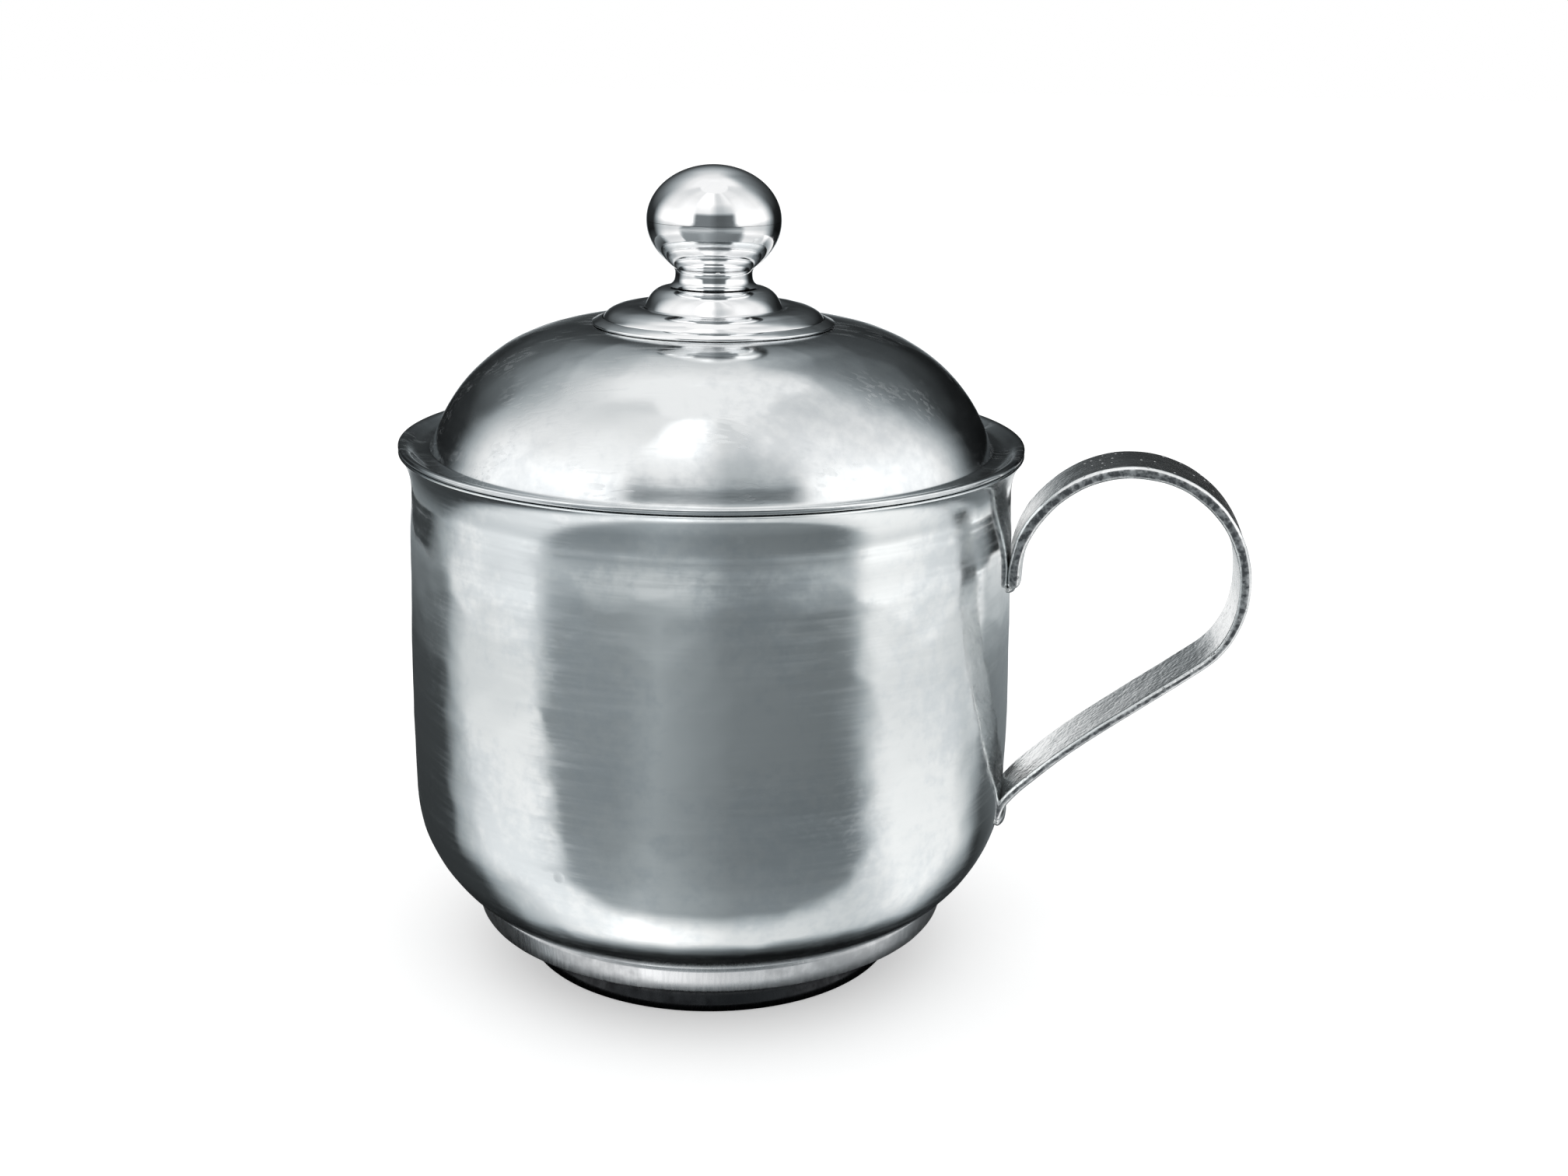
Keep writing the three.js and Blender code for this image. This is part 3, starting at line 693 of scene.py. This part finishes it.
def graded(tree, value, stops):
    """A brightness read from stops, each a value and the brightness there."""
    first, last = stops[0][0], stops[-1][0]
    share = tree.nodes.new("ShaderNodeMapRange")
    tree.links.new(value, share.inputs["Value"])
    share.inputs["From Min"].default_value = first
    share.inputs["From Max"].default_value = last
    ramp = tree.nodes.new("ShaderNodeValToRGB")
    tree.links.new(share.outputs[0], ramp.inputs[0])
    elements = ramp.color_ramp.elements
    elements.remove(elements[1])
    for i, (place, brightness) in enumerate(stops):
        element = elements[0] if i == 0 else elements.new((place - first) / (last - first))
        element.position = (place - first) / (last - first)
        element.color = (brightness, brightness, brightness, 1)
    return ramp.outputs[0]


def lit_cloth(name):
    """Glowing cloth, still without its brightness, and where a point of it lies round the cup."""
    cloth = bpy.data.materials.new(name)
    cloth.use_nodes = True
    tree = cloth.node_tree
    tree.nodes.remove(tree.nodes["Principled BSDF"])
    place = tree.nodes.new("ShaderNodeSeparateXYZ")
    tree.links.new(tree.nodes.new("ShaderNodeTexCoord").outputs["Object"], place.inputs[0])
    x, y, z = place.outputs
    bearing = calc(tree, "MULTIPLY", calc(tree, "ARCTAN2", x, calc(tree, "MULTIPLY", y, -1.0)), 180 / pi)
    far = calc(tree, "SQRT", calc(tree, "ADD", calc(tree, "MULTIPLY", x, x), calc(tree, "MULTIPLY", y, y)))
    return cloth, tree, (x, y, z, bearing, far)


def to_side(tree, x, middle, straight):
    """How far a place lies to the side of a straight stretch."""
    off_middle = calc(tree, "ABSOLUTE", calc(tree, "ADD", x, middle))
    return calc(tree, "MAXIMUM", calc(tree, "SUBTRACT", off_middle, straight), 0.0)


def glow(tree, brightness):
    """Lights the cloth. Where it is dim its light is a little cool."""
    light = tree.nodes.new("ShaderNodeEmission")
    tint = blend(tree, rise(tree, brightness, 0.1, 1.0), (0.90, 1.0, 1.05, 1), (1.0, 1.0, 1.0, 1))
    tree.links.new(tint, light.inputs["Color"])
    tree.links.new(brightness, light.inputs["Strength"])
    tree.links.new(light.outputs[0], tree.nodes["Material Output"].inputs["Surface"])


bpy.ops.object.select_all(action="DESELECT")
bpy.ops.mesh.primitive_cylinder_add(vertices=TENT_SIDES, radius=TENT_R, depth=TENT_HIGH,
                                    end_fill_type="NOTHING")
bpy.context.object.location.z = TENT_HIGH / 2
bpy.ops.object.transform_apply(location=True, rotation=True, scale=True)
wall = staged("tent_wall")
seen_in_silver(wall)
wall_cloth, tree, (x, y, z, bearing, far) = lit_cloth("tent_wall_cloth")
aside = calc(tree, "ABSOLUTE", bearing)
off = calc(tree, "ABSOLUTE", calc(tree, "ADD", bearing, rise(tree, z, *OPENING_LEANS, *OPENING_MIDDLE)))
past_jamb = calc(tree, "SUBTRACT", off, rise(tree, z, *OPENING_LEANS, *OPENING_HALF))
shade = blend(tree, rise(tree, past_jamb, *JAMB_SOFT), graded(tree, z, WALL_FRONT), graded(tree, z, WALL_SIDE))
shade = blend(tree, rise(tree, aside, *FOLDS_FROM), shade, graded(tree, z, WALL_FOLDS))
shade = blend(tree, rise(tree, aside, *GAP_FROM), shade, graded(tree, z, WALL_GAP))
even = calc(tree, "MULTIPLY", rise(tree, z, *EVEN_ABOVE), rise(tree, aside, *EVEN_FROM))
uneven = blend(tree, even, graded(tree, bearing, WALL_ROUND), (1.0, 1.0, 1.0, 1))
glow(tree, calc(tree, "MULTIPLY", shade, uneven))
wall.data.materials.append(wall_cloth)

bpy.ops.object.select_all(action="DESELECT")
bpy.ops.mesh.primitive_circle_add(vertices=TENT_SIDES, radius=TENT_R, fill_type="NGON")
sheet = staged("tent_sheet")
seen_in_silver(sheet)
sheet.location.z = -SHEET_DOWN
sheet_cloth, tree, (x, y, z, bearing, far) = lit_cloth("tent_sheet_cloth")
aside = calc(tree, "ABSOLUTE", calc(tree, "ADD", bearing, OPENING_MIDDLE[0]))
forward = calc(tree, "MULTIPLY_ADD", to_side(tree, x, 0.0, EDGE_STRAIGHT), EDGE_TURNS,
               calc(tree, "MULTIPLY", y, -1.0))
past_edge = calc(tree, "MULTIPLY", rise(tree, forward, *EDGE_AT), rise(tree, aside, *EDGE_ROUND, 1.0, 0.0))
folds_line = calc(tree, "MULTIPLY_ADD", to_side(tree, x, FOLDS_MIDDLE, FOLDS_STRAIGHT), FOLDS_TURN, FOLDS_AT)
softness = calc(tree, "MULTIPLY_ADD", far, FOLDS_SOFTER, FOLDS_SOFT)
in_folds = rise(tree, calc(tree, "DIVIDE", calc(tree, "SUBTRACT", y, folds_line), softness), -1, 1)
shade = blend(tree, past_edge, graded(tree, far, SHEET_LIT), graded(tree, far, SHEET_PAST))
shade = blend(tree, in_folds, shade, graded(tree, far, SHEET_FOLDS))
in_gap = calc(tree, "MULTIPLY", rise(tree, calc(tree, "ABSOLUTE", bearing), *GAP_LIGHT_ROUND),
              rise(tree, far, *GAP_LIGHT_FAR))
shade = calc(tree, "MULTIPLY", shade, graded(tree, bearing, SHEET_ROUND))
glow(tree, calc(tree, "MAXIMUM", shade, in_gap))
sheet.data.materials.append(sheet_cloth)

bpy.ops.object.select_all(action="DESELECT")
bpy.ops.mesh.primitive_plane_add(size=FLOOR_WIDE)
floor = staged("floor")
floor.location.z = -FLOOR_DOWN
pale = bpy.data.materials.new("pale_floor")
pale.use_nodes = True
tree = pale.node_tree
shader = tree.nodes["Principled BSDF"]
shader.inputs["Base Color"].default_value = (0.8, 0.8, 0.8, 1)
shader.inputs["Roughness"].default_value = 1.0
shader.inputs["Specular IOR Level"].default_value = 0.0
shader.inputs["Emission Color"].default_value = (1, 1, 1, 1)
seen = tree.nodes.new("ShaderNodeLightPath").outputs
seen_in_gloss = calc(tree, "ADD", seen["Is Glossy Ray"], seen["Is Transmission Ray"])
tree.links.new(calc(tree, "MULTIPLY", calc(tree, "ADD", seen["Is Camera Ray"], seen_in_gloss), FLOOR_GLOW),
               shader.inputs["Emission Strength"])
floor.data.materials.append(pale)

room = bpy.data.worlds.new("white_room")
bpy.context.scene.world = room
room.use_nodes = True
room.node_tree.nodes["Background"].inputs["Color"].default_value = (1, 1, 1, 1)
